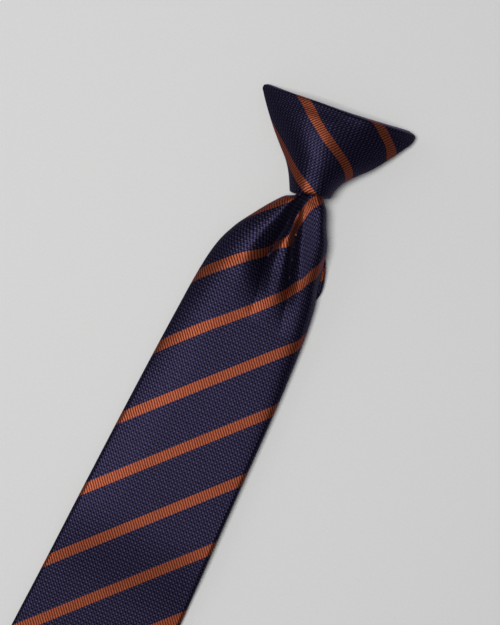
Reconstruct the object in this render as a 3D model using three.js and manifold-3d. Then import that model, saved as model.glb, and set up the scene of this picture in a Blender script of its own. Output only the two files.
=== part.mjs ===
// A pre-tied clip-on necktie that lies face up on a flat surface. All sizes are in millimetres.
//
// Frame: +Y runs along the front blade from its point towards the knot, +X is the viewer's right,
// +Z is up out of the front of the tie, and z = 0 is the surface that it lies on.
// Origin: the middle of the clip's back face, under the knot.

import * as THREE from "three";
import { mergeVertices } from "three/addons/utils/BufferGeometryUtils.js";
import Module from "manifold-3d";

// Rows of numbers as objects, one key for each column.
function table(columns, rows) {
  return rows.map((row) => Object.fromEntries(columns.map((name, i) => [name, row[i]])));
}

// Clearance between neighbouring pieces, and between the two back flaps of a blade
const GAP = 0.3;
const SEAM = 0.8;

const CLIP = {
  width: 18,
  length: 34, // straight part of the plate and of the tongue
  metal: 1.2, // thickness of the strip
  collar: 2.4, // room for the collar between plate and tongue
  corner: 5, // radius of the rounded free ends
};
const CLIP_HEIGHT = 2 * CLIP.metal + CLIP.collar;
const BEND_SEGMENTS = 8;
const CORNER_SEGMENTS = 6;

const KNOT = {
  turn: 6.3, // degrees that the knot leans from the blade's axis
  wall: 1.8,
  sideWall: 2.0, // wall at the side edges
  mouth: -20.5, // where the blades come out, along the knot's own axis
  top: 21.2,
  mouthSlant: 0.16, // rise of the mouth for each millimetre to the right
  topSlant: 0.015, // the same for the top edge
  wingLift: 1.3, // how far the top edge rises at the wings
};

// The cloth rolls over the top edge: lengths of the roll on both sides, and where across the knot, as
// shares of its half width, one turns into the other.
const TOP_ROLL = { left: 1.4, right: 3.6, start: -0.35, end: 0.5 };

// The wings bend back beside the clip: where the bend starts, the width it is measured over, and how
// far down it takes the cloth there.
const WING_BEND = { start: 12, reach: 25.5, drop: 3.6, power: 1.5 };

// The knot along its own axis: half widths to the left and right of the axis, heights of the crest
// and of the side edges above the back, how far right of the axis the crest lies, and how flat each
// side starts out from the crest.
const KNOT_STATIONS = table(
  ["along", "left", "right", "height", "edge", "crest", "leftPower", "rightPower"],
  [
    [-20.5, 8.8, 9.8, 14.6, 5.6, 0.2, 3.0, 3.4],
    [-17.0, 10.3, 10.4, 15.2, 5.4, 0.2, 3.0, 3.0],
    [-13.0, 12.1, 12.2, 15.8, 5.0, 0.2, 2.8, 2.4],
    [-8.0, 15.1, 16.6, 16.8, 4.4, 0.0, 2.5, 1.9],
    [-2.0, 20.3, 23.0, 17.6, 3.8, -0.8, 2.3, 1.7],
    [5.0, 26.4, 28.8, 17.8, 3.4, -1.8, 2.3, 1.6],
    [12.0, 31.8, 33.9, 17.2, 3.2, -1.6, 2.3, 1.7],
    [17.0, 35.2, 37.2, 16.2, 3.0, -0.6, 2.2, 2.4],
    [19.4, 36.5, 37.6, 15.8, 3.0, 0.0, 2.2, 4.0],
    [20.5, 36.3, 36.6, 15.5, 3.0, 0.0, 2.2, 4.4],
    [21.2, 34.8, 34.0, 15.2, 3.0, 0.0, 2.2, 4.4],
  ],
);

// A blade from its neck inside the knot to the place where its point starts: left and right edges,
// height of the back above the surface, how far the middle arches up, how far the left edge droops,
// and how wide the rounding of the edges is.
const BLADE_COLUMNS = ["along", "left", "right", "back", "arch", "droop", "roll"];

const FRONT = {
  thickness: 3.8, // two walls and the room between them
  wall: 1.4,
  point: 40, // length of the pointed end
  blunt: 1.2, // half width left at the very end
  across: { front: 29, inside: 15, flap: 5, flapInside: 3 }, // points over the front, inside and each flap
  gatherEnd: -94, // where the gathers have run out
  gatherStep: 2.7, // between sections in the gathers
};
const FRONT_STATIONS = table(BLADE_COLUMNS, [
  [-10.0, -3.2, 8.6, 9.9, 2.4, 0.0, 4.0],
  [-18.5, -3.2, 8.8, 9.9, 2.4, 0.0, 4.0],
  [-22.6, -3.4, 12.0, 9.8, 3.0, 0.0, 4.0],
  [-25.0, -7.4, 13.4, 9.6, 3.6, 0.2, 4.0],
  [-29.0, -10.9, 15.2, 9.0, 4.3, 0.8, 4.0],
  [-39.0, -17.7, 20.4, 7.4, 5.2, 2.2, 3.8],
  [-47.0, -22.5, 22.4, 6.0, 5.8, 2.8, 3.8],
  [-57.0, -26.4, 24.5, 4.4, 6.2, 3.0, 3.8],
  [-66.0, -28.1, 27.0, 3.5, 5.7, 2.9, 3.8],
  [-79.0, -29.3, 28.9, 3.0, 4.3, 2.5, 3.4],
  [-90.0, -29.9, 29.8, 2.9, 3.1, 2.4, 2.9],
  [-117.0, -31.2, 31.2, 2.9, 1.2, 2.2, 2.2],
  [-154.0, -32.6, 32.2, 2.9, 0.3, 1.9, 1.9],
  [-188.0, -33.7, 33.2, 2.9, 0.0, 1.2, 1.9],
  [-228.0, -34.9, 34.5, 0.3, 0.0, 0.0, 1.9],
  [-250.0, -35.7, 35.3, 0.0, 0.0, 0.0, 1.9],
  [-440.0, -41.6, 41.4, 0.0, 0.0, 0.0, 1.9],
]);

const TAIL = {
  thickness: 2.4,
  wall: 0.9,
  point: 19,
  blunt: 1.0,
  across: { front: 13, inside: 7, flap: 4, flapInside: 2 },
  gatherEnd: -80,
  gatherStep: 4.5,
};
const TAIL_STATIONS = table(BLADE_COLUMNS, [
  [-12.0, -2.1, 7.6, 7.2, 0.0, 0.0, 1.2],
  [-21.0, -2.3, 8.2, 7.2, 0.0, 0.0, 1.2],
  [-30.0, -4.8, 14.0, 6.0, 0.0, 0.0, 1.2],
  [-42.0, -7.6, 21.2, 3.9, 0.0, 0.0, 1.2],
  [-50.0, -8.4, 25.0, 2.5, 0.0, 0.0, 1.2],
  [-58.0, -8.6, 26.8, 1.2, 0.0, 0.0, 1.2],
  [-66.0, -9.6, 25.4, 0.3, 0.0, 0.0, 1.2],
  [-78.0, -12.0, 23.0, 0.0, 0.0, 0.0, 1.2],
  [-100.0, -16.0, 20.0, 0.0, 0.0, 0.0, 1.2],
  [-165.0, -19.0, 19.0, 0.0, 0.0, 0.0, 1.2],
]);

// Folds pressed into the front blade under the knot, each a valley that runs down the blade: where its
// bottom lies across the blade, how deep it is, and how far it reaches to the left and to the right.
const FOLD_COLUMNS = ["along", "across", "depth", "left", "right"];
const DIMPLE = table(FOLD_COLUMNS, [
  [-14.0, 1.6, 1.6, 3.0, 3.0],
  [-22.0, -0.4, 3.6, 3.0, 3.4],
  [-29.0, -1.0, 5.4, 5.0, 5.0],
  [-36.0, -1.2, 6.2, 7.2, 5.0],
  [-43.0, -2.0, 6.4, 9.0, 4.4],
  [-50.0, -2.6, 6.2, 10.6, 5.2],
  [-57.0, -2.6, 5.2, 11.4, 6.4],
  [-64.0, -1.6, 3.4, 11.4, 7.6],
  [-72.0, 0.4, 1.5, 11.0, 8.6],
  [-84.0, 2.0, 0.0, 11.0, 10.0],
]);
const SIDE_CREASE = table(FOLD_COLUMNS, [
  [-26.0, 0.6, 0.0, 2.6, 2.4],
  [-32.0, 2.4, 2.2, 4.0, 3.2],
  [-38.0, 4.3, 4.6, 4.2, 4.2],
  [-44.0, 5.8, 5.8, 4.2, 5.0],
  [-50.0, 7.9, 6.0, 5.0, 5.8],
  [-57.0, 10.2, 5.4, 6.0, 6.2],
  [-64.0, 12.4, 3.8, 6.4, 6.4],
  [-72.0, 14.8, 1.6, 7.6, 9.6],
  [-84.0, 18.0, 0.0, 9.0, 10.0],
]);
const FRONT_FOLDS = [DIMPLE, SIDE_CREASE];

// How the sections of the blades and of the knot are rounded. Shares are of the half width unless
// they say something else, and a higher power is flatter in the middle and steeper at the sides.
const BLADE_SHAPE = {
  slim: 0.8, // most that a rounded edge takes where the blade is narrow
  wallShare: 0.4, // most of the thickness that one wall takes
  archLeft: 4.5, // power of the arch on its left side, and on its right side
  archRight: 12,
  droopStart: 0.35, // where the left side starts to droop, from the middle
  edgeCloth: 0.4, // millimetres of cloth between the rounded edge and the room inside
  roomShare: 0.3, // least that stays open inside
};
const KNOT_SHAPE = {
  archFullness: 0.84, // 1 is a plain arch, less is fuller at its sides
  backPower: 8,
  rollPower: 2.6,
  rollEnd: 0.16, // share of the arch that is left at the top edge
  rollLift: 0.4, // share of the edge height by which the back rises at the top edge
};

// Distances between sections, and counts of them
const PLAIN_STEP = 30;
const POINT_STEPS = 6;
const KNOT_STEP = 3;
const ROLL_STEPS = 5;
const KNOT_ACROSS = 25;
const FRONT_CROWDING = 0.6; // 1 crowds the points over a blade's front together at its edges, 0 does not

const COLOURS = { cloth: 0x1d1b33, clip: 0xb9bbbf };

// Tables are read between their rows

// The value of a smooth curve through one column, with no overshoot between the rows.
function smoothColumn(rows, name, at) {
  const place = (i) => rows[i].along;
  const value = (i) => rows[i][name];
  const last = rows.length - 1;
  const slope = (i) => (value(i + 1) - value(i)) / (place(i + 1) - place(i));
  const tangent = (i) => {
    if (i === 0) return slope(0);
    if (i === last) return slope(last - 1);
    const before = slope(i - 1);
    const after = slope(i);
    return before * after <= 0 ? 0 : (2 * before * after) / (before + after);
  };
  const way = Math.sign(place(last) - place(0));
  const [low, high] = way > 0 ? [place(0), place(last)] : [place(last), place(0)];
  const inside = Math.min(Math.max(at, low), high);
  let k = 0;
  while (k < last - 1 && (inside - place(k + 1)) * way > 0) k++;
  const length = place(k + 1) - place(k);
  const t = (inside - place(k)) / length;
  return (
    (2 * t ** 3 - 3 * t ** 2 + 1) * value(k) +
    (t ** 3 - 2 * t ** 2 + t) * length * tangent(k) +
    (3 * t ** 2 - 2 * t ** 3) * value(k + 1) +
    (t ** 3 - t ** 2) * length * tangent(k + 1)
  );
}

// A whole row, worked out at any place along the piece.
function rowAt(rows, at) {
  const names = Object.keys(rows[0]);
  const row = Object.fromEntries(names.map((name) => [name, smoothColumn(rows, name, at)]));
  return { ...row, along: at };
}

// Values from -1 to 1 that crowd together towards both ends, less so with less crowding.
function crowdedAtEnds(count, crowding = 1) {
  return Array.from({ length: count }, (_, i) => {
    const even = (2 * i) / (count - 1) - 1;
    return even + crowding * (Math.sin((Math.PI / 2) * even) - even);
  });
}

// Places from one value to another, about a step apart, both ends included.
function places(from, to, step) {
  const count = Math.max(1, Math.round(Math.abs(to - from) / step));
  return Array.from({ length: count + 1 }, (_, i) => from + ((to - from) * i) / count);
}

// Solids

// A closed body through rings of points that all have the same count, with a flat cap on each end.
// Each ring goes counterclockwise when it is seen from the first ring towards the last.
function loft(rings) {
  const count = rings[0].length;
  const positions = rings.flat().flatMap((p) => [p.x, p.y, p.z]);
  const index = [];
  for (let r = 0; r + 1 < rings.length; r++)
    for (let i = 0; i < count; i++) {
      const next = (i + 1) % count;
      const [a, b] = [r * count + i, r * count + next];
      index.push(a, b + count, b, a, a + count, b + count);
    }
  const cap = (ring, start, wantsClockwise) => {
    const outline = ring.map((p) => new THREE.Vector2(p.x, p.z));
    for (const [a, b, c] of THREE.ShapeUtils.triangulateShape(outline, [])) {
      const clockwise = THREE.ShapeUtils.area([outline[a], outline[b], outline[c]]) < 0;
      if (clockwise === wantsClockwise) index.push(start + a, start + b, start + c);
      else index.push(start + a, start + c, start + b);
    }
  };
  cap(rings[0], 0, true);
  cap(rings.at(-1), count * (rings.length - 1), false);
  const geometry = new THREE.BufferGeometry();
  geometry.setAttribute("position", new THREE.Float32BufferAttribute(positions, 3));
  geometry.setIndex(index);
  return geometry;
}

const wasm = await Module();
wasm.setup();

function toSolid(geometry) {
  const bare = geometry.clone();
  bare.deleteAttribute("normal");
  bare.deleteAttribute("uv");
  const merged = mergeVertices(bare, 1e-4);
  return new wasm.Manifold(
    new wasm.Mesh({
      numProp: 3,
      vertProperties: new Float32Array(merged.attributes.position.array),
      triVerts: new Uint32Array(merged.index.array),
    }),
  );
}

function toGeometry(solid) {
  const mesh = solid.getMesh();
  const geometry = new THREE.BufferGeometry();
  geometry.setAttribute("position", new THREE.BufferAttribute(mesh.vertProperties, 3));
  geometry.setIndex(new THREE.BufferAttribute(mesh.triVerts, 1));
  return geometry;
}

// The quarter-round that leads from an edge to the full height, by the distance from the edge.
function edgeRound(distance, radius) {
  const t = Math.min(Math.max(distance / radius, 0), 1);
  return Math.sqrt(1 - (1 - t) ** 2);
}

// Blades

// How far the folds together lower the front of a blade at (x, y).
function foldDepth(folds, x, y) {
  let depth = 0;
  for (const fold of folds) {
    const row = rowAt(fold, Math.min(Math.max(y, fold.at(-1).along), fold[0].along));
    const away = x - row.across;
    const t = away / (away < 0 ? row.left : row.right);
    depth += row.depth * Math.max(1 - Math.abs(t), 0) ** 2;
  }
  return depth;
}

// One section of a folded blade, a single ring: over the front from left to right, back along the
// right flap to the seam, round the inside, and out of the seam along the left flap.
function bladeRing(row, blade, folds) {
  const middle = (row.left + row.right) / 2;
  const half = (row.right - row.left) / 2;
  const shape = BLADE_SHAPE;
  const thickness = Math.min(blade.thickness, 2 * shape.slim * half);
  const wall = Math.min(blade.wall, thickness * shape.wallShare);
  const roll = Math.min(row.roll, shape.slim * half);
  const backRoll = Math.min(thickness / 2, shape.slim * half);
  const edgeDistance = (x) => Math.min(x - row.left, row.right - x);
  const drooped = (x) => {
    const t = ((middle - x) / half - shape.droopStart) / (1 - shape.droopStart);
    return t > 0 ? row.droop * t * t : 0;
  };
  const backAt = (x) => row.back - drooped(x) + (thickness / 2) * (1 - edgeRound(edgeDistance(x), backRoll));
  const frontAt = (x) => {
    const power = x < middle ? shape.archLeft : shape.archRight;
    const arch = row.arch * (1 - Math.abs((x - middle) / half) ** power);
    const full = thickness / 2 + arch - foldDepth(folds, x, row.along);
    return row.back - drooped(x) + thickness / 2 + full * edgeRound(edgeDistance(x), roll);
  };
  const innerHalf = Math.max(half - roll - shape.edgeCloth, shape.roomShare * half);
  const slit = Math.min(SEAM / 2, innerHalf / 2);
  const room = Math.min(thickness - 2 * wall, GAP);
  const innerBackAt = (x) => backAt(x) + wall;
  const innerFrontAt = (x) => Math.max(frontAt(x) - wall, innerBackAt(x) + room);
  const point = (x, z) => new THREE.Vector3(x, row.along, z);

  // Half widths from the edge of a flap to the seam, on the outside and on the inside.
  const { across } = blade;
  const flap = Array.from({ length: across.flap }, (_, i) => {
    const t = Math.sin((Math.PI / 2) * (1 - (i + 1) / across.flap));
    return slit + (half - slit) * t;
  });
  const flapInside = Array.from({ length: across.flapInside }, (_, i) => {
    return slit + ((innerHalf - slit) * i) / across.flapInside;
  });
  return [
    ...crowdedAtEnds(across.front, FRONT_CROWDING).map((t) => point(middle + half * t, frontAt(middle + half * t))),
    ...flap.map((x) => point(middle + x, backAt(middle + x))),
    ...flapInside.map((x) => point(middle + x, innerBackAt(middle + x))),
    ...crowdedAtEnds(across.inside)
      .reverse()
      .map((t) => point(middle + innerHalf * t, innerFrontAt(middle + innerHalf * t))),
    ...flapInside.reverse().map((x) => point(middle - x, innerBackAt(middle - x))),
    ...flap.reverse().map((x) => point(middle - x, backAt(middle - x))),
  ];
}

function bladeGeometry(blade, stations, folds) {
  const neck = stations[0].along;
  const end = stations.at(-1).along;
  const gathers = places(neck, blade.gatherEnd, blade.gatherStep);
  const along = [...gathers, ...places(blade.gatherEnd, end, PLAIN_STEP).slice(1)];
  const rings = along.map((y) => bladeRing(rowAt(stations, y), blade, folds));
  const last = rowAt(stations, end);
  const middle = (last.left + last.right) / 2;
  const half = (last.right - last.left) / 2;
  for (let i = 1; i <= POINT_STEPS; i++) {
    const share = i / POINT_STEPS;
    const narrow = half + (blade.blunt - half) * share;
    const row = { ...last, along: end - blade.point * share, left: middle - narrow, right: middle + narrow };
    rings.push(bladeRing(row, blade, folds));
  }
  return loft(rings);
}

// The knot

// One section across the knot, moved inwards by the inset and by the side inset: over the arched
// front from left to right and back along the nearly flat back.
function knotRing(along, inset, sideInset) {
  const shape = KNOT_SHAPE;
  const row = rowAt(KNOT_STATIONS, along);
  const left = -row.left + sideInset;
  const right = row.right - sideInset;
  const upwards = Math.max((along - KNOT.mouth) / (KNOT.top - KNOT.mouth), 0);
  const slant = KNOT.mouthSlant * (1 - upwards) ** 2 + KNOT.topSlant * upwards;

  // The share of the height that is left at t where the cloth rolls over the top edge.
  const fullness = (t) => {
    const turned = Math.min(Math.max((t - TOP_ROLL.start) / (TOP_ROLL.end - TOP_ROLL.start), 0), 1);
    const length = TOP_ROLL.left + (TOP_ROLL.right - TOP_ROLL.left) * turned ** 2 * (3 - 2 * turned);
    const rolled = Math.min(Math.max((along + inset - KNOT.top + length) / length, 0), 1);
    return Math.max(Math.sqrt(1 - rolled ** shape.rollPower), shape.rollEnd);
  };
  const point = (t, height) => {
    const x = row.crest + (t < 0 ? -t * (left - row.crest) : t * (right - row.crest));
    const lift = KNOT.wingLift * (x / row.right) ** 2 * upwards;
    const bent = Math.max((Math.abs(x) - WING_BEND.start) / WING_BEND.reach, 0) ** WING_BEND.power;
    return new THREE.Vector3(x, along + slant * x + lift, height - WING_BEND.drop * bent);
  };
  const across = crowdedAtEnds(KNOT_ACROSS);
  const front = across.map((t) => {
    const arch = (1 - Math.abs(t) ** (t < 0 ? row.leftPower : row.rightPower)) ** shape.archFullness;
    const rise = (row.height - row.edge) * fullness(t) - inset;
    return point(t, row.edge + rise * arch);
  });
  const back = across
    .slice(1, -1)
    .reverse()
    .map((t) => {
      const backHeight = inset + (1 - fullness(t)) * shape.rollLift * row.edge;
      return point(t, backHeight + (row.edge - backHeight) * Math.abs(t) ** shape.backPower);
    });
  return [...front, ...back];
}

// The hollow knot: its outer body less its inside, which runs out through the mouth.
function knotGeometry() {
  const rollStart = KNOT.top - TOP_ROLL.right;
  const outer = [
    ...places(KNOT.mouth, rollStart, KNOT_STEP),
    ...places(rollStart, KNOT.top, TOP_ROLL.right / ROLL_STEPS).slice(1),
  ];
  const innerTop = KNOT.top - KNOT.wall;
  const inner = [KNOT.mouth - KNOT.wall, ...places(KNOT.mouth + KNOT_STEP / 2, innerTop, KNOT_STEP)];
  const ringsOf = (list, ...insets) => list.map((along) => knotRing(along, ...insets)).reverse();
  const body = toSolid(loft(ringsOf(outer, 0, 0)));
  const hollow = toSolid(loft(ringsOf(inner, KNOT.wall, KNOT.sideWall)));
  return toGeometry(body.subtract(hollow));
}

// The clip

// A flat shape made into a straight body of some depth.
function slab(shape, depth, curveSegments) {
  return new THREE.ExtrudeGeometry(shape, { depth, curveSegments, bevelEnabled: false });
}

// A strip bent into a U, open at its lower end, with rounded free ends: the tongue lies on the
// surface and the plate is above it, under the knot.
function clipGeometry() {
  const half = CLIP.length / 2;
  const outerRadius = CLIP_HEIGHT / 2;
  const profile = new THREE.Shape();
  profile.moveTo(-half, 0);
  profile.lineTo(half, 0);
  profile.absarc(half, outerRadius, outerRadius, -Math.PI / 2, Math.PI / 2, false);
  profile.lineTo(-half, CLIP_HEIGHT);
  profile.lineTo(-half, CLIP_HEIGHT - CLIP.metal);
  profile.lineTo(half, CLIP_HEIGHT - CLIP.metal);
  profile.absarc(half, outerRadius, CLIP.collar / 2, Math.PI / 2, -Math.PI / 2, true);
  profile.lineTo(-half, CLIP.metal);
  profile.closePath();
  const strip = slab(profile, CLIP.width, BEND_SEGMENTS);
  strip.translate(0, 0, -CLIP.width / 2);
  const toRow = new THREE.Matrix4().makeBasis(
    new THREE.Vector3(0, 1, 0),
    new THREE.Vector3(0, 0, 1),
    new THREE.Vector3(1, 0, 0),
  );
  strip.applyMatrix4(toRow);

  const side = CLIP.width / 2;
  const straight = side - CLIP.corner;
  const outline = new THREE.Shape();
  outline.moveTo(side, half + 2 * CLIP_HEIGHT);
  outline.lineTo(-side, half + 2 * CLIP_HEIGHT);
  outline.lineTo(-side, -half + CLIP.corner);
  outline.absarc(-straight, -half + CLIP.corner, CLIP.corner, Math.PI, 1.5 * Math.PI, false);
  outline.absarc(straight, -half + CLIP.corner, CLIP.corner, 1.5 * Math.PI, 2 * Math.PI, false);
  outline.closePath();
  const cutter = slab(outline, 3 * CLIP_HEIGHT, CORNER_SEGMENTS);
  cutter.translate(0, 0, -CLIP_HEIGHT);
  return toGeometry(toSolid(strip).intersect(toSolid(cutter)));
}

// The tie

function addPiece(parent, name, geometry, material) {
  const mesh = new THREE.Mesh(geometry, material);
  mesh.name = name;
  geometry.computeVertexNormals();
  parent.add(mesh);
  return mesh;
}

function cloth() {
  return new THREE.MeshStandardMaterial({ color: COLOURS.cloth, roughness: 0.7, metalness: 0 });
}

const tie = new THREE.Group();

const knot = new THREE.Group();
knot.position.z = CLIP_HEIGHT + GAP;
knot.rotation.z = THREE.MathUtils.degToRad(KNOT.turn);
tie.add(knot);
addPiece(knot, "knot_wrap", knotGeometry(), cloth());

addPiece(tie, "front_blade", bladeGeometry(FRONT, FRONT_STATIONS, FRONT_FOLDS), cloth());
addPiece(tie, "tail_blade", bladeGeometry(TAIL, TAIL_STATIONS, []), cloth());

const steel = new THREE.MeshStandardMaterial({ color: COLOURS.clip, roughness: 0.35, metalness: 1 });
addPiece(tie, "clip", clipGeometry(), steel);

export default tie;
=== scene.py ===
import math

import bmesh
import bpy
import numpy as np
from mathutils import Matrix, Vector


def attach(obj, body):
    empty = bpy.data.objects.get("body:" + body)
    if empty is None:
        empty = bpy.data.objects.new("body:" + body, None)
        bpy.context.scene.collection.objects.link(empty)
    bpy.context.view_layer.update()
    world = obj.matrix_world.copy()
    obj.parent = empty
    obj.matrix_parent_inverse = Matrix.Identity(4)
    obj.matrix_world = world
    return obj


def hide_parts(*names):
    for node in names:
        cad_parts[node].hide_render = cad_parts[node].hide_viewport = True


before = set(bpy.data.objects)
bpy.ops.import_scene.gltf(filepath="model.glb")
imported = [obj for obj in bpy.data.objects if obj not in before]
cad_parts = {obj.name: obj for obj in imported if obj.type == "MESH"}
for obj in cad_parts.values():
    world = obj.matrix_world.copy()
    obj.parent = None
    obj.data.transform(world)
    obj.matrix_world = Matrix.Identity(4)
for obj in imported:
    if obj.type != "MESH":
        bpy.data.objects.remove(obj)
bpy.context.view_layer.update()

MM = 0.001


def table(columns, rows):
    """Rows of numbers as one array for each named column."""
    return {name: np.array([row[i] for row in rows], float) for i, name in enumerate(columns)}


# Driving sizes, the same as those of the solids. Only the front blade's droop, the rounding of its edges
# and its folds follow the photo a little more closely than the solids do.
GAP = 0.3  # least room between the walls inside a blade
SEAM = 0.8  # between the two back flaps of a blade
KNOT_HEIGHT = 5.1  # height of the knot's back above the surface
KNOT_TURN = 6.3  # degrees that the knot leans from the blade's axis
KNOT = dict(wall=1.8, side_wall=2.0, mouth=-20.5, top=21.2)  # mouth and top lie on its own axis
KNOT_LEAN = dict(mouth_slant=0.16, top_slant=0.015, wing_lift=1.3)  # slants: rise for each mm to the right
TOP_ROLL = dict(left=1.4, right=3.6, start=-0.35, end=0.5)  # lengths, and where one turns into the other
TOP_CLOSING = (55, 88)  # degrees that the cloth still turns over the top edge
TIP_ROUND = 7.0  # how far from the tips of the wings that turn has its full height
WING_BEND = dict(start=12.0, reach=25.5, drop=3.6, power=1.5)  # how the wings bend back beside the clip
KNOT_SHAPE = dict(
    arch_fullness=0.84,  # 1 is a plain arch, less is fuller at its sides
    back_power=8,
    roll_power=2.6,
    roll_end=0.16,  # share of the arch that is left at the top edge
    roll_lift=0.4,  # share of the edge's height by which the back rises at the top edge
)
# The knot along its own axis: half widths to the left and right of the axis, heights of the crest and of
# the side edges above the back, how far right of the axis the crest lies, and how flat each side starts
KNOT_STATIONS = table(
    ["along", "left", "right", "height", "edge", "crest", "left_power", "right_power"],
    [
        [-20.5, 8.8, 9.8, 14.6, 5.6, 0.2, 3.0, 3.4],
        [-17.0, 10.3, 10.4, 15.2, 5.4, 0.2, 3.0, 3.0],
        [-13.0, 12.1, 12.2, 15.8, 5.0, 0.2, 2.8, 2.4],
        [-8.0, 15.1, 16.6, 16.8, 4.4, 0.0, 2.5, 1.9],
        [-2.0, 20.3, 23.0, 17.6, 3.8, -0.8, 2.3, 1.7],
        [5.0, 26.4, 28.8, 17.8, 3.4, -1.8, 2.3, 1.6],
        [12.0, 31.8, 33.9, 17.2, 3.2, -1.6, 2.3, 1.7],
        [17.0, 35.2, 37.2, 16.2, 3.0, -0.6, 2.2, 2.4],
        [19.4, 36.5, 37.6, 15.8, 3.0, 0.0, 2.2, 4.0],
        [20.5, 36.3, 36.6, 15.5, 3.0, 0.0, 2.2, 4.4],
        [21.2, 34.8, 34.0, 15.2, 3.0, 0.0, 2.2, 4.4],
    ],
)
# Where the thread that the stripes are measured from lies across the knot, and how far the cloth is
# drawn sideways at its left and right edges
KNOT_THREAD = table(
    ["along", "across", "left_pull", "right_pull"],
    [
        [-20.5, 1.1, 0.0, 0.0],
        [-17.0, 0.6, 0.6, 0.0],
        [-13.0, 0.0, 1.0, 0.0],
        [-8.0, -0.6, 1.2, 0.0],
        [-2.0, -1.6, -0.4, -0.6],
        [5.0, -2.9, -1.9, -2.0],
        [12.0, -3.0, -2.4, -4.8],
        [15.0, -2.1, -2.3, -2.8],
        [18.5, -1.0, -2.0, -0.5],
        [21.2, 0.0, -1.8, 3.2],
    ],
)

# A blade from its neck inside the knot to the place where its point starts: left and right edges, height
# of the back above the surface, how far the middle arches up, how far the left edge droops, and how wide
# the rounding of the edges is
BLADE_COLUMNS = ["along", "left", "right", "back", "arch", "droop", "roll"]
BLADE_SHAPE = dict(
    slim=0.8,  # most of the half width that a rounded edge takes
    wall_share=0.4,  # most of the thickness that one wall takes
    arch_left=4.5,  # powers of the arch on its two sides, higher is flatter in the middle
    arch_right=12,
    droop_start=0.35,  # where the left side starts to droop, as a share of the half width
    edge_cloth=0.4,  # between the rounded edge and the room inside
    room_share=0.3,  # least of the half width that stays open inside
)
# Each blade: its thickness over both walls, one wall, the length of its point, the half width that is left
# at the point's very end, and where its gathers have run out
FRONT = dict(thickness=3.8, wall=1.4, point=40.0, blunt=1.2, gather_end=-94.0)
FRONT_STATIONS = table(
    BLADE_COLUMNS,
    [
        [-10.0, -3.2, 8.6, 9.9, 2.4, 0.0, 4.0],
        [-18.5, -3.2, 8.8, 9.9, 2.4, 0.0, 4.0],
        [-22.6, -3.4, 12.0, 9.8, 3.0, 0.0, 4.0],
        [-25.0, -7.4, 13.4, 9.6, 3.6, 0.2, 3.4],
        [-29.0, -10.9, 15.2, 9.0, 4.3, 0.8, 3.0],
        [-39.0, -17.7, 20.4, 7.4, 5.2, 0.8, 2.8],
        [-47.0, -22.5, 22.4, 6.0, 5.8, 0.8, 2.8],
        [-57.0, -26.4, 24.5, 4.4, 6.2, 0.9, 2.8],
        [-66.0, -28.1, 27.0, 3.5, 5.7, 1.0, 2.8],
        [-79.0, -29.3, 28.9, 3.0, 4.3, 1.2, 2.8],
        [-90.0, -29.9, 29.8, 2.9, 3.1, 1.5, 2.6],
        [-117.0, -31.2, 31.2, 2.9, 1.2, 2.2, 2.2],
        [-154.0, -32.6, 32.2, 2.9, 0.3, 1.9, 1.9],
        [-188.0, -33.7, 33.2, 2.9, 0.0, 1.2, 1.9],
        [-228.0, -34.9, 34.5, 0.3, 0.0, 0.0, 1.9],
        [-250.0, -35.7, 35.3, 0.0, 0.0, 0.0, 1.9],
        [-440.0, -41.6, 41.4, 0.0, 0.0, 0.0, 1.9],
    ],
)
TAIL = dict(thickness=2.4, wall=0.9, point=19.0, blunt=1.0, gather_end=-80.0)
TAIL_STATIONS = table(
    BLADE_COLUMNS,
    [
        [-12.0, -2.1, 7.6, 7.2, 0.0, 0.0, 1.2],
        [-21.0, -2.3, 8.2, 7.2, 0.0, 0.0, 1.2],
        [-30.0, -4.8, 14.0, 6.0, 0.0, 0.0, 1.2],
        [-42.0, -7.6, 21.2, 3.9, 0.0, 0.0, 1.2],
        [-50.0, -8.4, 25.0, 2.5, 0.0, 0.0, 1.2],
        [-58.0, -8.6, 26.8, 1.2, 0.0, 0.0, 1.2],
        [-66.0, -9.6, 25.4, 0.3, 0.0, 0.0, 1.2],
        [-78.0, -12.0, 23.0, 0.0, 0.0, 0.0, 1.2],
        [-100.0, -16.0, 20.0, 0.0, 0.0, 0.0, 1.2],
        [-165.0, -19.0, 19.0, 0.0, 0.0, 0.0, 1.2],
    ],
)

# Folds that run down the front blade: where the bottom of each lies across it, its depth, and its reach
# to the left and to the right
FOLD_COLUMNS = ["along", "across", "depth", "left", "right"]
DIMPLE = table(
    FOLD_COLUMNS,
    [
        [-14.0, 1.6, 1.6, 3.0, 3.0],
        [-22.0, -0.4, 3.6, 3.0, 3.4],
        [-29.0, -1.0, 5.4, 5.0, 5.0],
        [-36.0, -1.2, 6.2, 6.6, 4.0],
        [-43.0, -2.0, 6.4, 8.4, 3.4],
        [-50.0, -2.6, 6.2, 9.6, 3.8],
        [-57.0, -2.6, 5.2, 10.4, 4.8],
        [-64.0, -1.6, 3.4, 10.4, 6.4],
        [-72.0, 0.4, 1.5, 11.0, 8.6],
        [-84.0, 2.0, 0.0, 11.0, 10.0],
    ],
)
SIDE_CREASE = table(
    FOLD_COLUMNS,
    [
        [-26.0, 0.6, 0.0, 2.6, 2.4],
        [-32.0, 2.4, 2.2, 3.6, 3.0],
        [-38.0, 4.3, 4.3, 3.4, 3.4],
        [-44.0, 5.8, 5.0, 3.3, 4.0],
        [-50.0, 7.9, 5.0, 3.8, 4.4],
        [-57.0, 10.2, 4.4, 4.6, 5.0],
        [-64.0, 12.4, 3.2, 5.6, 6.2],
        [-72.0, 14.8, 1.4, 7.8, 8.5],
        [-84.0, 18.0, 0.0, 9.0, 10.0],
    ],
)
FRONT_FOLDS = [DIMPLE, SIDE_CREASE]
FOLD_SPACE = 1.0  # least distance between two folds' bottoms where they run out

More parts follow.
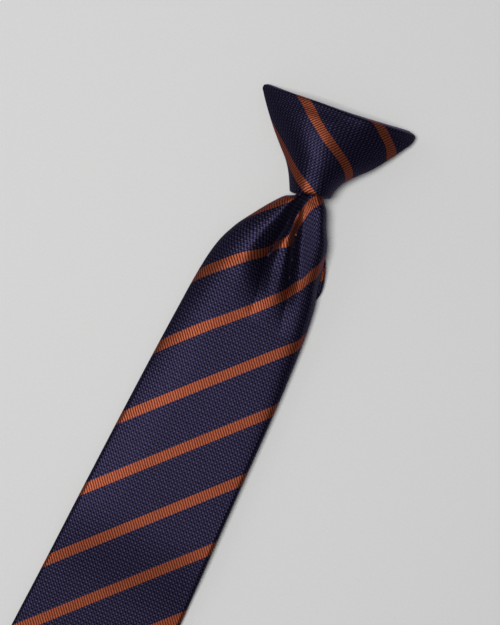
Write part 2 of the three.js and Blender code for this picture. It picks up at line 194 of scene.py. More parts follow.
# How far the cloth is drawn sideways in the gathers: at the left edge, on the left shoulder of the
# dimple, in the crease, on its right shoulder, half-way from there to the right edge, and at that edge
GATHER_SHIFT = table(
    ["along", "left", "left_shoulder", "crease", "right_shoulder", "right_roll", "right"],
    [
        [-22.0, -14.6, -12.0, 6.0, 12.5, 13.6, 15.0],
        [-29.0, -12.0, -10.2, 7.5, 10.0, 12.0, 14.8],
        [-36.0, -11.4, -9.4, 4.0, 5.8, 9.0, 13.0],
        [-43.0, -9.8, -7.4, -1.2, 1.3, 6.4, 11.5],
        [-50.0, -7.0, -4.2, -0.6, 0.6, 4.6, 9.0],
        [-60.0, -3.8, -1.4, 0.0, 1.6, 3.4, 5.6],
        [-72.0, -2.1, -1.2, -0.3, 0.5, 1.8, 3.0],
        [-94.0, -1.1, 0.0, 0.0, 0.0, 0.5, 1.1],
    ],
)
GATHER_EASE = 24.0  # length over which the drawn cloth, and the points on it, turn into plain ones
DRAWN_SPACE = 0.05  # least distance between the places that the cloth is drawn from

# The weave: stripes woven along one set of threads. The angles of the stripes and of the crossing threads
# are measured on the cloth from +X, the offset is where the middle of a stripe lies, and a closeness over 1
# packs threads and stripes closer together
STRIPE = dict(pitch=24.0, width=4.6, edge=0.25)
THREAD = 1.17  # distance between neighbouring threads
BLADE_GRAIN = dict(stripes=47.9, cross=131.7, offset=-28.9, closeness=1.0)
TAIL_GRAIN = dict(stripes=47.9, cross=131.7, offset=-21.0, closeness=1.0)
KNOT_GRAIN = dict(stripes=-37.1, cross=42.0, offset=6.0, closeness=1.075)

# The slip stitches of the back seam, each a short slanted thread whose ends go into the flaps
STITCH = dict(
    start=-60.0, end=-432.0, step=6.0, height=0.5, dip=0.3, reach=1.0, slant=0.7, lean=0.6,
    radius=0.22, taper=0.8, sides=8, sections=9,
)

# Distances between sections and counts of points in a section
FRONT_MESH = dict(
    gather_step=0.7, plain_step=4.0, point_steps=30, front=150, inside=30, flap=36, flap_inside=8,
)
TAIL_MESH = dict(
    gather_step=1.2, plain_step=4.0, point_steps=16, front=70, inside=16, flap=20, flap_inside=5,
)
KNOT_MESH = dict(step=0.7, roll_step=0.2, inner_step=3.0, lip_steps=8, close_steps=6, front=161, back=60)
BACK_OFFSET = 0.1  # in point spacings, keeps the two middle points of the knot's back apart
SHARP_ANGLE = 30  # degrees between faces from which an edge is shaded sharp


def smooth(rows, name, at):
    """Values of a smooth curve through one column, with no overshoot between the rows."""
    place, value = rows["along"], rows[name]
    if place[0] > place[-1]:
        place, value = place[::-1], value[::-1]
    at = np.clip(at, place[0], place[-1])
    slope = np.diff(value) / np.diff(place)
    product = slope[:-1] * slope[1:]
    rising = product > 0
    total = np.where(rising, slope[:-1] + slope[1:], 1.0)
    tangent = np.concatenate([slope[:1], np.where(rising, 2 * product / total, 0.0), slope[-1:]])
    k = np.clip(np.searchsorted(place, at, side="right") - 1, 0, len(place) - 2)
    length = place[k + 1] - place[k]
    t = (at - place[k]) / length
    return (
        (2 * t**3 - 3 * t**2 + 1) * value[k]
        + (t**3 - 2 * t**2 + t) * length * tangent[k]
        + (3 * t**2 - 2 * t**3) * value[k + 1]
        + (t**3 - t**2) * length * tangent[k + 1]
    )


def crowded_at_ends(count):
    """Values from -1 to 1 that crowd together towards both ends."""
    return np.sin(np.pi / 2 * np.linspace(-1, 1, count))


def places(start, end, step):
    """Places from one value to another, about a step apart, both ends included."""
    return np.linspace(start, end, max(1, round(abs(end - start) / step)) + 1)


def edge_round(distance, radius):
    """The quarter-round that leads from an edge to the full height."""
    t = np.clip(distance / radius, 0, 1)
    return np.sqrt(1 - (1 - t) ** 2)


def arc_length(points):
    """Distance walked along each row of points, from its first one."""
    steps = np.linalg.norm(np.diff(points, axis=1), axis=2)
    return np.concatenate([np.zeros((len(points), 1)), np.cumsum(steps, axis=1)], axis=1)


def on_grain(across, along, grain):
    """Cloth places measured square to the stripes and square to the crossing threads."""
    stripes, cross = math.radians(grain["stripes"]), math.radians(grain["cross"])
    square = -math.sin(stripes) * across + math.cos(stripes) * along - grain["offset"]
    other = math.sin(cross) * across - math.cos(cross) * along
    return grain["closeness"] * np.stack([square, other, np.zeros_like(square)], axis=-1)


def ring_mesh(name, rings, cloth):
    """A closed body through rings of points, with the cloth's own places kept on it."""
    sections, count = rings.shape[:2]
    index = np.arange(sections * count).reshape(sections, count)
    following = np.roll(index, -1, axis=1)
    quads = np.stack([index[:-1], index[1:], following[1:], following[:-1]], axis=-1).reshape(-1, 4)
    caps = [index[0].tolist(), index[-1][::-1].tolist()]
    mesh = bpy.data.meshes.new(name)
    mesh.from_pydata((rings.reshape(-1, 3) * MM).tolist(), [], quads.tolist() + caps)
    places_on_cloth = mesh.attributes.new("cloth", "FLOAT_VECTOR", "POINT")
    places_on_cloth.data.foreach_set("vector", cloth.reshape(-1).astype(np.float32))

    body = bmesh.new()
    body.from_mesh(mesh)
    wide = [face for face in body.faces if len(face.verts) > 4]
    bmesh.ops.triangulate(body, faces=wide, ngon_method="EAR_CLIP")
    body.to_mesh(mesh)
    body.free()
    mesh.shade_smooth()
    mesh.set_sharp_from_angle(angle=math.radians(SHARP_ANGLE))
    piece = bpy.data.objects.new(name, mesh)
    bpy.context.scene.collection.objects.link(piece)
    return piece


def fold_depth(folds, x, along):
    """How far the folds together lower the front of a blade."""
    depth = np.zeros_like(x)
    for fold in folds:
        away = x - smooth(fold, "across", along)
        t = away / np.where(away < 0, smooth(fold, "left", along), smooth(fold, "right", along))
        depth += smooth(fold, "depth", along) * np.clip(1 - np.abs(t), 0, None) ** 2
    return depth


def blade_rows(blade, stations, detail):
    """Every column of a blade's table at all its sections, each as an upright array."""
    end = stations["along"][-1]
    gathers = places(stations["along"][0], blade["gather_end"], detail["gather_step"])
    along = np.concatenate([gathers, places(blade["gather_end"], end, detail["plain_step"])[1:]])
    rows = {name: smooth(stations, name, along) for name in BLADE_COLUMNS[1:]}
    rows["along"] = along
    share = np.arange(1, detail["point_steps"] + 1) / detail["point_steps"]
    middle = (rows["left"][-1] + rows["right"][-1]) / 2
    half = (rows["right"][-1] - rows["left"][-1]) / 2
    narrow = half + (blade["blunt"] - half) * share
    tip = {name: np.full_like(share, column[-1]) for name, column in rows.items()}
    tip.update(along=end - blade["point"] * share, left=middle - narrow, right=middle + narrow)
    return {name: np.concatenate([rows[name], tip[name]])[:, None] for name in rows}


def over_folds(x, rows, folds):
    """Moves the points across a blade's front so that one column of them follows each fold's bottom.
    Below the folds they ease back to their own places."""
    if not folds:
        return x
    along = rows["along"][:, 0]
    bottoms = [smooth(fold, "across", along) for fold in folds]
    for i in range(1, len(bottoms)):
        bottoms[i] = np.maximum(bottoms[i], bottoms[i - 1] + FOLD_SPACE)
    deepest = np.argmin(np.abs(along - folds[0]["along"][np.argmax(folds[0]["depth"])]))
    columns = [np.argmin(np.abs(x[deepest] - bottom[deepest])) for bottom in bottoms]
    fixed = [0] + columns + [x.shape[1] - 1]
    ease = np.clip(1 - (folds[0]["along"][-1] - along) / GATHER_EASE, 0, 1)
    moved = x.copy()
    for i in np.flatnonzero(ease > 0):
        targets = [x[i, 0]] + [bottom[i] for bottom in bottoms] + [x[i, -1]]
        moved[i] += (np.interp(x[i], x[i, fixed], targets) - x[i]) * ease[i]
    return moved


def blade_rings(blade, rows, folds, detail):
    """All sections of a folded blade: over the front, back along one flap, inside, and out again."""
    shape = BLADE_SHAPE
    middle = (rows["left"] + rows["right"]) / 2
    half = (rows["right"] - rows["left"]) / 2
    thickness = np.minimum(blade["thickness"], 2 * shape["slim"] * half)
    wall = np.minimum(blade["wall"], thickness * shape["wall_share"])
    roll = np.minimum(rows["roll"], shape["slim"] * half)
    back_roll = np.minimum(thickness / 2, shape["slim"] * half)

    def edge_distance(x):
        return np.minimum(x - rows["left"], rows["right"] - x)

    def drooped(x):
        t = ((middle - x) / half - shape["droop_start"]) / (1 - shape["droop_start"])
        return rows["droop"] * np.clip(t, 0, None) ** 2

    def back_at(x):
        return rows["back"] - drooped(x) + thickness / 2 * (1 - edge_round(edge_distance(x), back_roll))

    def front_at(x):
        power = np.where(x < middle, shape["arch_left"], shape["arch_right"])
        arch = rows["arch"] * (1 - np.abs((x - middle) / half) ** power)
        full = thickness / 2 + arch - fold_depth(folds, x, rows["along"] + 0 * x)
        return rows["back"] - drooped(x) + thickness / 2 + full * edge_round(edge_distance(x), roll)

    inner_half = np.maximum(half - roll - shape["edge_cloth"], shape["room_share"] * half)
    slit = np.minimum(SEAM / 2, inner_half / 2)
    room = np.minimum(thickness - 2 * wall, GAP)

    def inner_back_at(x):
        return back_at(x) + wall

    def inner_front_at(x):
        return np.maximum(front_at(x) - wall, inner_back_at(x) + room)

    front = over_folds(middle + half * crowded_at_ends(detail["front"]), rows, folds)
    flap = slit + (half - slit) * np.sin(np.pi / 2 * (1 - np.arange(1, detail["flap"] + 1) / detail["flap"]))
    inside = slit + (inner_half - slit) * np.arange(detail["flap_inside"]) / detail["flap_inside"]
    stretches = [
        (front, front_at),
        (middle + flap, back_at),
        (middle + inside, inner_back_at),
        (middle + inner_half * crowded_at_ends(detail["inside"])[::-1], inner_front_at),
        (middle - inside[:, ::-1], inner_back_at),
        (middle - flap[:, ::-1], back_at),
    ]
    return np.concatenate(
        [np.stack([x, rows["along"] + 0 * x, height(x)], axis=-1) for x, height in stretches], axis=1
    )


def plain_across(rings, detail):
    """Cloth places over the front of plain sections: the distance walked from its middle."""
    walked = arc_length(rings[:, : detail["front"]])
    return walked - walked[:, -1:] / 2


def wrapped(rings, across, detail):
    """Carries the front's cloth places on round both edges to the seam. Along the blade's point the
    flaps keep the places of the last full section, and the inside takes those of the seam's edges."""
    front, flap = detail["front"], detail["flap"]
    right = rings[:, front - 1 : front + flap]
    right_across = across[:, -1:] + arc_length(right)[:, 1:]
    left = np.concatenate([rings[:, :1], rings[:, ::-1][:, :flap]], axis=1)
    left_across = (across[:, :1] - arc_length(left)[:, 1:])[:, ::-1]
    point = len(rings) - detail["point_steps"]
    for flap_across, flap_x in ((right_across, right[:, 1:, 0]), (left_across, left[:, :0:-1, 0])):
        for i in range(point, len(rings)):
            flap_across[i] = np.interp(-flap_x[i], -flap_x[point - 1], flap_across[point - 1])
    hidden = detail["flap_inside"]
    turn = np.linspace(0, 1, detail["inside"])[None, :]
    inner_front = across[:, -1:] + (across[:, :1] - across[:, -1:]) * turn
    right_inside = np.repeat(right_across[:, -1:], hidden, axis=1)
    left_inside = np.repeat(left_across[:, :1], hidden, axis=1)
    return np.concatenate(
        [across, right_across, right_inside, inner_front, left_inside, left_across], axis=1
    )


def gathered_across(rings, rows, detail):
    """Cloth places over the front blade, drawn together in the gathers as the shift table says. The
    plain cloth below takes over within a short length."""
    front = rings[:, : detail["front"]]
    walked = arc_length(front)
    plain = plain_across(rings, detail)
    along = rows["along"][:, 0]
    ease = np.clip((FRONT["gather_end"] - along) / GATHER_EASE, 0, 1)[:, None]
    crease = smooth(SIDE_CREASE, "across", along)
    shoulder = crease + smooth(SIDE_CREASE, "right", along)
    edge = rows["right"][:, 0]
    held = [
        (rows["left"][:, 0], "left"),
        (smooth(DIMPLE, "across", along) - smooth(DIMPLE, "left", along), "left_shoulder"),
        (crease, "crease"),
        (shoulder, "right_shoulder"),
        ((shoulder + edge) / 2, "right_roll"),
        (edge, "right"),
    ]
    gathered = plain.copy()
    for i in np.flatnonzero(ease[:, 0] < 1):
        place = np.array([np.interp(x[i], front[i, :, 0], walked[i]) for x, _ in held])
        place = np.maximum.accumulate(place) + DRAWN_SPACE * np.arange(len(held))
        target = np.array([x[i] + smooth(GATHER_SHIFT, name, along[i]) for x, name in held])
        gathered[i] = smooth({"along": place, "cloth": target}, "cloth", walked[i])
    return gathered + (plain - gathered) * ease


def front_blade():
    detail = FRONT_MESH
    rows = blade_rows(FRONT, FRONT_STATIONS, detail)
    rings = blade_rings(FRONT, rows, FRONT_FOLDS, detail)
    across = wrapped(rings, gathered_across(rings, rows, detail), detail)
    return ring_mesh("front_cloth", rings, on_grain(across, rings[..., 1], BLADE_GRAIN))


def tail_blade():
    detail = TAIL_MESH
    rows = blade_rows(TAIL, TAIL_STATIONS, detail)
    rings = blade_rings(TAIL, rows, [], detail)
    across = wrapped(rings, plain_across(rings, detail), detail)
    return ring_mesh("tail_cloth", rings, on_grain(across, rings[..., 1], TAIL_GRAIN))


def knot_ring(along, inset, side_inset):
    """One section across the knot, moved inwards by the insets: over the front and back again."""
    shape = KNOT_SHAPE
    row = {name: smooth(KNOT_STATIONS, name, along) for name in KNOT_STATIONS}
    left, right = -row["left"] + side_inset, row["right"] - side_inset

    def fullness(t):
        turned = np.clip((t - TOP_ROLL["start"]) / (TOP_ROLL["end"] - TOP_ROLL["start"]), 0, 1)
        roll = TOP_ROLL["left"] + (TOP_ROLL["right"] - TOP_ROLL["left"]) * turned**2 * (3 - 2 * turned)
        rolled = np.clip((along + inset - KNOT["top"] + roll) / roll, 0, 1)
        return np.maximum(np.sqrt(1 - rolled ** shape["roll_power"]), shape["roll_end"])

    def ring_points(t, height):
        x = row["crest"] + np.abs(t) * (np.where(t < 0, left, right) - row["crest"])
        upwards = max((along - KNOT["mouth"]) / (KNOT["top"] - KNOT["mouth"]), 0)
        slant = KNOT_LEAN["mouth_slant"] * (1 - upwards) ** 2 + KNOT_LEAN["top_slant"] * upwards
        lift = KNOT_LEAN["wing_lift"] * (x / row["right"]) ** 2 * upwards
        bent = np.clip((np.abs(x) - WING_BEND["start"]) / WING_BEND["reach"], 0, None) ** WING_BEND["power"]
        return np.stack([x, along + slant * x + lift, height - WING_BEND["drop"] * bent], axis=-1)

    t = crowded_at_ends(KNOT_MESH["front"])
    power = np.where(t < 0, row["left_power"], row["right_power"])
    arch = (1 - np.abs(t) ** power) ** shape["arch_fullness"]
    rise = (row["height"] - row["edge"]) * fullness(t) - inset
    front = ring_points(t, row["edge"] + rise * arch)
    half = np.sin(np.pi / 2 * (np.arange(KNOT_MESH["back"]) + BACK_OFFSET) / KNOT_MESH["back"])
    t = np.concatenate([half[::-1], -half])
    back_height = inset + (1 - fullness(t)) * shape["roll_lift"] * row["edge"]
    back = ring_points(t, back_height + (row["edge"] - back_height) * np.abs(t) ** shape["back_power"])
    return np.concatenate([front, back])


def knot_path():
    """Where the knot's sections lie along it, and by what share of the wall each is moved inwards: down
    the inside and round the mouth's lip, up the outside, and over the rolled top."""
    wall, detail = KNOT["wall"], KNOT_MESH
    lip_start, roll_start = KNOT["mouth"] + wall, KNOT["top"] - TOP_ROLL["right"]
    lip = np.linspace(0, np.pi, detail["lip_steps"] + 1)
    inside = [(along, 1.0) for along in places(KNOT["top"] - wall, lip_start, detail["inner_step"])]
    inside += [(KNOT["mouth"] + wall / 2 * (1 - math.sin(a)), (1 + math.cos(a)) / 2) for a in lip]
    outside = [(along, 0.0) for along in places(lip_start, roll_start, detail["step"])]
    top = [(along, 0.0) for along in places(roll_start, KNOT["top"], detail["roll_step"])[1:]]
    return inside, outside, top


def over_top_edge(last):
    """Rings that carry the knot's last section on over its top edge, lower towards the wings' tips."""
    count = KNOT_MESH["front"]
    front, back = last[:count], last[: count - 1 : -1]
    middle = last[:, 2].copy()
    middle[:count] = (front[:, 2] + np.interp(front[:, 0], back[:, 0], back[:, 2])) / 2
    middle[count:] = np.interp(last[count:, 0], front[:, 0], middle[:count])
    to_tip = np.minimum(last[:, 0] - last[:, 0].min(), last[:, 0].max() - last[:, 0])
    rise = KNOT["wall"] * edge_round(to_tip, TIP_ROUND)
    first_angle, last_angle = np.radians(TOP_CLOSING)
    rings = []
    for angle in np.linspace(first_angle, last_angle, KNOT_MESH["close_steps"] + 1)[1:]:
        ring = last.copy()
        ring[:, 2] = middle + (last[:, 2] - middle) * math.cos(angle) / math.cos(first_angle)
        ring[:, 1] += rise * (math.sin(angle) - math.sin(first_angle))
        rings.append(ring)
    return rings


def knot_across(rings, along, held):
    """Cloth places across the knot, walked from its thread and on round both edges. Above the held
    section they stay as they are there, so that the stripes run straight over the top."""
    count, half = KNOT_MESH["front"], KNOT_MESH["back"]
    front = rings[:, :count]
    walked = arc_length(front)
    thread = smooth(KNOT_THREAD, "across", along)
    at_thread = [np.interp(thread[i], front[i, :, 0], walked[i]) for i in range(len(front))]
    across = walked - np.array(at_thread)[:, None]
    right = np.concatenate([front[:, -1:], rings[:, count : count + half]], axis=1)
    left = np.concatenate([front[:, :1], rings[:, ::-1][:, :half]], axis=1)
    right_across = across[:, -1:] + arc_length(right)[:, 1:]
    left_across = (across[:, :1] - arc_length(left)[:, 1:])[:, ::-1]
    across = np.concatenate([across, right_across, left_across], axis=1)
    across[held + 1 :] = across[held]
    t = np.concatenate([crowded_at_ends(count), np.ones(half), -np.ones(half)])
    across += smooth(KNOT_THREAD, "left_pull", along)[:, None] * np.clip(-t, 0, 1)
    across += smooth(KNOT_THREAD, "right_pull", along)[:, None] * np.clip(t, 0, 1)
    return across


def knot_along(rings, start):
    """Cloth places along the knot: on the outside, the distance climbed from its first section."""
    along = rings[..., 1].copy()
    climb = np.hypot(np.diff(rings[start:, :, 1], axis=0), np.diff(rings[start:, :, 2], axis=0))
    along[start + 1 :] = along[start] + np.cumsum(climb, axis=0)
    return along


def knot():
    inside, outside, top = knot_path()
    path = inside + outside + top
    wall, side_wall = KNOT["wall"], KNOT["side_wall"]
    rings = [knot_ring(along, wall * inset, side_wall * inset) for along, inset in path]
    closing = over_top_edge(rings[-1])
    rings = np.array(rings + closing)
    path_along = np.array([along for along, _ in path] + [KNOT["top"]] * len(closing))
    across = knot_across(rings, path_along, held=len(inside) + len(outside) - 1)
    cloth = on_grain(across, knot_along(rings, start=len(inside)), KNOT_GRAIN)

    turn = math.radians(KNOT_TURN)
    x = rings[..., 0] * math.cos(turn) - rings[..., 1] * math.sin(turn)
    y = rings[..., 0] * math.sin(turn) + rings[..., 1] * math.cos(turn)
    placed = np.stack([x, y, rings[..., 2] + KNOT_HEIGHT], axis=-1)
    # The outside's sections run up the knot, where a blade's run down, so the rings are turned round to
    # make the faces point out
    return ring_mesh("knot_cloth", placed[:, ::-1], cloth[:, ::-1])


def seam_stitches():
    """Slanted slip stitches that draw the two flaps together down the back of the front blade."""
    stitch = STITCH
    sides = np.linspace(0, 2 * np.pi, stitch["sides"], endpoint=False)
    count = len(sides)
    share = np.linspace(-1, 1, stitch["sections"])
    points, faces = [], []
    for along in places(stitch["start"], stitch["end"], stitch["step"]):
        row = {name: smooth(FRONT_STATIONS, name, along) for name in ("left", "right", "back")}
        middle = (row["left"] + row["right"]) / 2
        height = row["back"] + stitch["height"] + stitch["dip"] * share**2
        radius = stitch["radius"] * np.sqrt(1 - (stitch["taper"] * share) ** 2)
        first = len(points)
        for s, z, r in zip(share, height, radius):
            x, y = middle + stitch["reach"] * s, along + stitch["slant"] * s
            for angle in sides:
                beside, above = r * math.cos(angle), r * math.sin(angle)
                points.append((x - beside * stitch["lean"], y + beside, z + above))
        for k in range(len(share) - 1):
            for i in range(count):
                a, b = first + k * count + i, first + k * count + (i + 1) % count
                faces.append((a, b, b + count, a + count))
        last = first + (len(share) - 1) * count
        faces += [tuple(range(first, first + count))[::-1], tuple(range(last, last + count))]
    mesh = bpy.data.meshes.new("seam_stitches")
    mesh.from_pydata((np.array(points) * MM).tolist(), [], faces)
    body = bmesh.new()
    body.from_mesh(mesh)
    bmesh.ops.recalc_face_normals(body, faces=body.faces)
    body.to_mesh(mesh)
    body.free()
    mesh.shade_smooth()
    piece = bpy.data.objects.new("seam_stitches", mesh)
    bpy.context.scene.collection.objects.link(piece)
    return piece


class Nodes:
    """A material's node tree, with short calls that add a node and link its inputs."""

    def __init__(self, name):
        self.material = bpy.data.materials.new(name)
        self.material.use_nodes = True
        self.tree = self.material.node_tree
        self.shader = self.tree.nodes["Principled BSDF"]

    def put(self, value, socket):
        if isinstance(value, bpy.types.NodeSocket):
            self.tree.links.new(value, socket)
        else:
            socket.default_value = value

    def add(self, kind, inputs=(), **settings):
        node = self.tree.nodes.new(kind)
        for name, value in settings.items():
            setattr(node, name, value)
        for name, value in dict(inputs).items():
            self.put(value, node.inputs[name])
        return node

    def math(self, operation, *values):
        node = self.tree.nodes.new("ShaderNodeMath")
        node.operation = operation
        for value, socket in zip(values, node.inputs):
            self.put(value, socket)
        return node.outputs[0]

    def mix(self, share, first, second):
        node = self.tree.nodes.new("ShaderNodeMix")
        node.data_type = "RGBA"
        self.put(share, node.inputs["Factor"])
        self.put(first, node.inputs["A"])
        self.put(second, node.inputs["B"])
        return node.outputs["Result"]

    def ramp(self, value, low, high):
        """A smooth step from 0 at low to 1 at high."""
        node = self.tree.nodes.new("ShaderNodeMapRange")
        node.interpolation_type = "SMOOTHSTEP"
        for name, given in {"Value": value, "From Min": low, "From Max": high}.items():
            self.put(given, node.inputs[name])
        return node.outputs["Result"]

    def noise(self, place, scale, detail):
        node = self.add("ShaderNodeTexNoise", {"Vector": place, "Scale": scale, "Detail": detail})
        return node.outputs["Fac"]

    def finish(self, values):
        """Sets inputs of the shader itself, by their names."""
        for name, value in values.items():
            self.put(value, self.shader.inputs[name])

    def bump(self, height, strength, distance):
        node = self.add("ShaderNodeBump", {"Height": height, "Strength": strength, "Distance": distance})
        self.finish({"Normal": node.outputs["Normal"]})


# Colours of the cloth, from the hollows between its threads to the tops of the threads: painted shade in the
# hollows, and the navy or orange yarn with a painted highlight on the tops
CLOTH = dict(
    navy_hollow_shade=(0.0015, 0.0012, 0.0036, 1.0),
    navy_float_with_highlight=(0.038, 0.033, 0.075, 1.0),
    orange_hollow_shade=(0.046, 0.0072, 0.0036, 1.0),
    orange_rib_with_highlight=(0.236, 0.062, 0.029, 1.0),
)
CLOTH_FINISH = {
    "Metallic": 0.75,
    "Roughness": 0.45,
    "Specular IOR Level": 0.2,
    "Specular Tint": (0.3, 0.25, 0.35, 1.0),
    "Sheen Weight": 0.25,
    "Sheen Roughness": 0.35,
    "Sheen Tint": (0.25, 0.2, 0.4, 1.0),
}
# How strongly each wave of the weave shows, in its bump and in the painted shade and highlight of its
# colour: its two diagonals, its rows and its columns
GROUND_WEAVE = dict(base=0.32, diagonal=0.22, counter=0.06, rows=0.16, columns=0.30)
STRIPE_WEAVE = dict(base=0.56, diagonal=0.08, counter=0.04, rows=0.0, columns=0.55)
# Noise over the cloth: threads that waver by a part of their distance, brighter and duller yarns in the
# ground, and uneven dye in the stripes, both from the least share on
WAVER = dict(scale=0.35, detail=2.0, reach=0.5)
YARNS = dict(scale=0.9, detail=1.0, reach=1.5, least=0.25)
DYE = dict(scale=0.06, detail=3.0, reach=0.5, least=0.75)
WEAVE_BUMP = dict(strength=0.36, distance=0.22 * MM, stripe_share=0.6)


def woven(nodes, row, column, weave):
    """Height of a plain weave whose threads lie on whole rows and columns, from 0 upwards."""
    total = weave["base"]
    waves = {
        "diagonal": nodes.math("MULTIPLY", nodes.math("ADD", row, column), 0.5),
        "counter": nodes.math("MULTIPLY", nodes.math("SUBTRACT", row, column), 0.5),
        "rows": row,
        "columns": column,
    }
    for name, turns in waves.items():
        wave = nodes.math("COSINE", nodes.math("MULTIPLY", turns, 2 * math.pi))
        total = nodes.math("MULTIPLY_ADD", wave, weave[name], total)
    return nodes.math("MAXIMUM", total, 0.0)


def striped_cloth():
    """Dark plain weave whose floats catch the light, with narrow ribbed stripes; the colour also holds
    painted shade in the hollows between threads and a painted highlight on the tops of the floats and ribs.
    """
    nodes = Nodes("striped_cloth")
    place = nodes.add("ShaderNodeAttribute", attribute_name="cloth").outputs["Vector"]
    parts = nodes.add("ShaderNodeSeparateXYZ", {"Vector": place}).outputs
    square, other = parts["X"], parts["Y"]
    waver = nodes.noise(place, WAVER["scale"], WAVER["detail"])
    row = nodes.math("MULTIPLY_ADD", waver, WAVER["reach"], nodes.math("DIVIDE", square, THREAD))
    column = nodes.math("MULTIPLY_ADD", waver, WAVER["reach"], nodes.math("DIVIDE", other, THREAD))

    from_middle = nodes.math("WRAP", square, STRIPE["pitch"] / 2, -STRIPE["pitch"] / 2)
    half, edge = STRIPE["width"] / 2, STRIPE["edge"] / 2
    ground = nodes.ramp(nodes.math("ABSOLUTE", from_middle), half - edge, half + edge)
    stripe = nodes.math("SUBTRACT", 1.0, ground)

    floats = woven(nodes, row, column, GROUND_WEAVE)
    ribs = woven(nodes, row, column, STRIPE_WEAVE)
    yarns = nodes.noise(place, YARNS["scale"], YARNS["detail"])
    speckle = nodes.math("MULTIPLY_ADD", yarns, YARNS["reach"], YARNS["least"])
    dye = nodes.noise(place, DYE["scale"], DYE["detail"])
    uneven = nodes.math("MULTIPLY_ADD", dye, DYE["reach"], DYE["least"])
    # Painted shade and highlight: the weave's height darkens the hollows between threads and lightens the
    # tops of the floats and ribs
    navy = nodes.mix(nodes.math("MULTIPLY", floats, speckle), CLOTH["navy_hollow_shade"], CLOTH["navy_float_with_highlight"])
    orange = nodes.mix(nodes.math("MULTIPLY", ribs, uneven), CLOTH["orange_hollow_shade"], CLOTH["orange_rib_with_highlight"])
    nodes.finish({"Base Color": nodes.mix(ground, orange, navy), **CLOTH_FINISH})

    ground_height = nodes.math("MULTIPLY", ground, floats)
    stripe_height = nodes.math("MULTIPLY", stripe, ribs)
    height = nodes.math("MULTIPLY_ADD", stripe_height, WEAVE_BUMP["stripe_share"], ground_height)
    nodes.bump(height, WEAVE_BUMP["strength"], WEAVE_BUMP["distance"])
    return nodes.material


# The plain materials: two colours that a fine noise mixes, and how deep that noise goes
SEAM_THREAD = dict(
    dark=(0.006, 0.006, 0.016, 1.0), light=(0.05, 0.045, 0.10, 1.0), roughness=0.55,
    scale=5200.0, detail=2.0, bump=0.4, depth=0.05 * MM,
)
CLIP_STEEL = dict(
    dark=(0.48, 0.48, 0.49, 1.0), light=(0.68, 0.68, 0.69, 1.0), smoothest=0.24, uneven=0.16,
    stretch=(9000.0, 120.0, 9000.0), scale=1.0, detail=4.0, bump=0.2, depth=0.02 * MM,
)
PAPER_FLOOR = dict(
    dark=(0.70, 0.695, 0.685, 1.0), light=(0.76, 0.755, 0.745, 1.0), roughness=0.85, scale=900.0, detail=3.0,
)


def seam_thread():
    """Dark sewing thread with a fine uneven twist."""
    look = SEAM_THREAD
    nodes = Nodes("seam_thread")
    place = nodes.add("ShaderNodeTexCoord").outputs["Object"]
    twist = nodes.noise(place, look["scale"], look["detail"])
    colour = nodes.mix(twist, look["dark"], look["light"])
    nodes.finish({"Base Color": colour, "Roughness": look["roughness"]})
    nodes.bump(twist, look["bump"], look["depth"])
    return nodes.material


def clip_steel():
    """Plain steel with a light brushing along the strip."""
    look = CLIP_STEEL
    nodes = Nodes("clip_steel")
    place = nodes.add("ShaderNodeTexCoord").outputs["Object"]
    stretched = nodes.add("ShaderNodeMapping", {"Vector": place, "Scale": look["stretch"]}).outputs["Vector"]
    brushed = nodes.noise(stretched, look["scale"], look["detail"])
    nodes.finish({
        "Base Color": nodes.mix(brushed, look["dark"], look["light"]),
        "Roughness": nodes.math("MULTIPLY_ADD", brushed, look["uneven"], look["smoothest"]),
        "Metallic": 1.0,
    })
    nodes.bump(brushed, look["bump"], look["depth"])
    return nodes.material


def paper_floor():
    """Pale paper with a faint grain."""
    look = PAPER_FLOOR
    nodes = Nodes("paper_floor")
    place = nodes.add("ShaderNodeTexCoord").outputs["Object"]
    grain = nodes.noise(place, look["scale"], look["detail"])
    colour = nodes.mix(grain, look["dark"], look["light"])
    nodes.finish({"Base Color": colour, "Roughness": look["roughness"]})
    return nodes.material


def dress(piece, node, material):
    """Gives a new piece its finish and its body, and hides the solid that it stands for."""
    piece.data.materials.append(material)
    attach(piece, "root")
    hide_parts(node)


cloth = striped_cloth()
steel = clip_steel()

knot_piece = knot()
dress(knot_piece, "knot_wrap", cloth)
front_piece = front_blade()
dress(front_piece, "front_blade", cloth)
tail_piece = tail_blade()
dress(tail_piece, "tail_blade", cloth)

stitches = seam_stitches()
stitches.data.materials.append(seam_thread())
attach(stitches, "root")

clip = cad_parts["clip"]
clip.data.materials.clear()
clip.data.materials.append(steel)

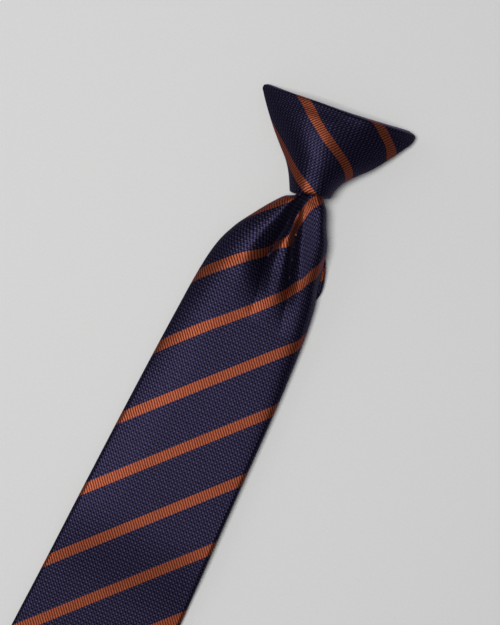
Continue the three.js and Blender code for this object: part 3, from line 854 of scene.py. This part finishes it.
# The camera looks straight down at the tie, which lies turned in the picture. The length of the picture's
# longer side is measured on the tie, at the given height above the floor.
CAMERA = dict(x=1.1, y=-80.3, height=900.0, turn=25.6, picture_length=287.5, at_height=6.0, sensor=36.0)
camera_data = bpy.data.cameras.new("camera")
camera_data.sensor_width = CAMERA["sensor"]
camera_data.lens = CAMERA["sensor"] * (CAMERA["height"] - CAMERA["at_height"]) / CAMERA["picture_length"]
camera = bpy.data.objects.new("camera", camera_data)
camera.location = Vector((CAMERA["x"], CAMERA["y"], CAMERA["height"])) * MM
camera.rotation_euler = (0, 0, math.radians(CAMERA["turn"]))
bpy.context.scene.collection.objects.link(camera)
bpy.context.scene.camera = camera

# The floor and the studio light, in metres
FLOOR_SIZE = 6.0
FLOOR_DROP = 0.3 * MM
WORLD = dict(colour=(0.9, 0.93, 1.0, 1.0), strength=0.14)
bpy.ops.mesh.primitive_plane_add(size=FLOOR_SIZE, location=(0, 0, -FLOOR_DROP))
floor = bpy.context.object
floor.name = "floor"
floor.data.materials.append(paper_floor())


def soft_light(name, azimuth, elevation, distance, size, power):
    """A square soft light that faces the middle of the tie. The azimuth is in the picture's plane."""
    data = bpy.data.lights.new(name, "AREA")
    data.size = size
    data.energy = power
    light = bpy.data.objects.new(name, data)
    turn = math.radians(azimuth + CAMERA["turn"])
    rise = math.radians(elevation)
    toward = Vector((math.cos(turn) * math.cos(rise), math.sin(turn) * math.cos(rise), math.sin(rise)))
    middle = Vector((CAMERA["x"], CAMERA["y"], 0)) * MM
    light.location = middle + toward * distance
    light.rotation_euler = toward.to_track_quat("Z", "Y").to_euler()
    bpy.context.scene.collection.objects.link(light)


soft_light("key", azimuth=165, elevation=79, distance=1.4, size=0.52, power=14.6)
soft_light("fill", azimuth=150, elevation=25, distance=2.4, size=1.6, power=6)
world = bpy.data.worlds.new("studio")
world.use_nodes = True
background = world.node_tree.nodes["Background"]
background.inputs["Color"].default_value = WORLD["colour"]
background.inputs["Strength"].default_value = WORLD["strength"]
bpy.context.scene.world = world
bpy.context.scene.view_settings.view_transform = "Standard"
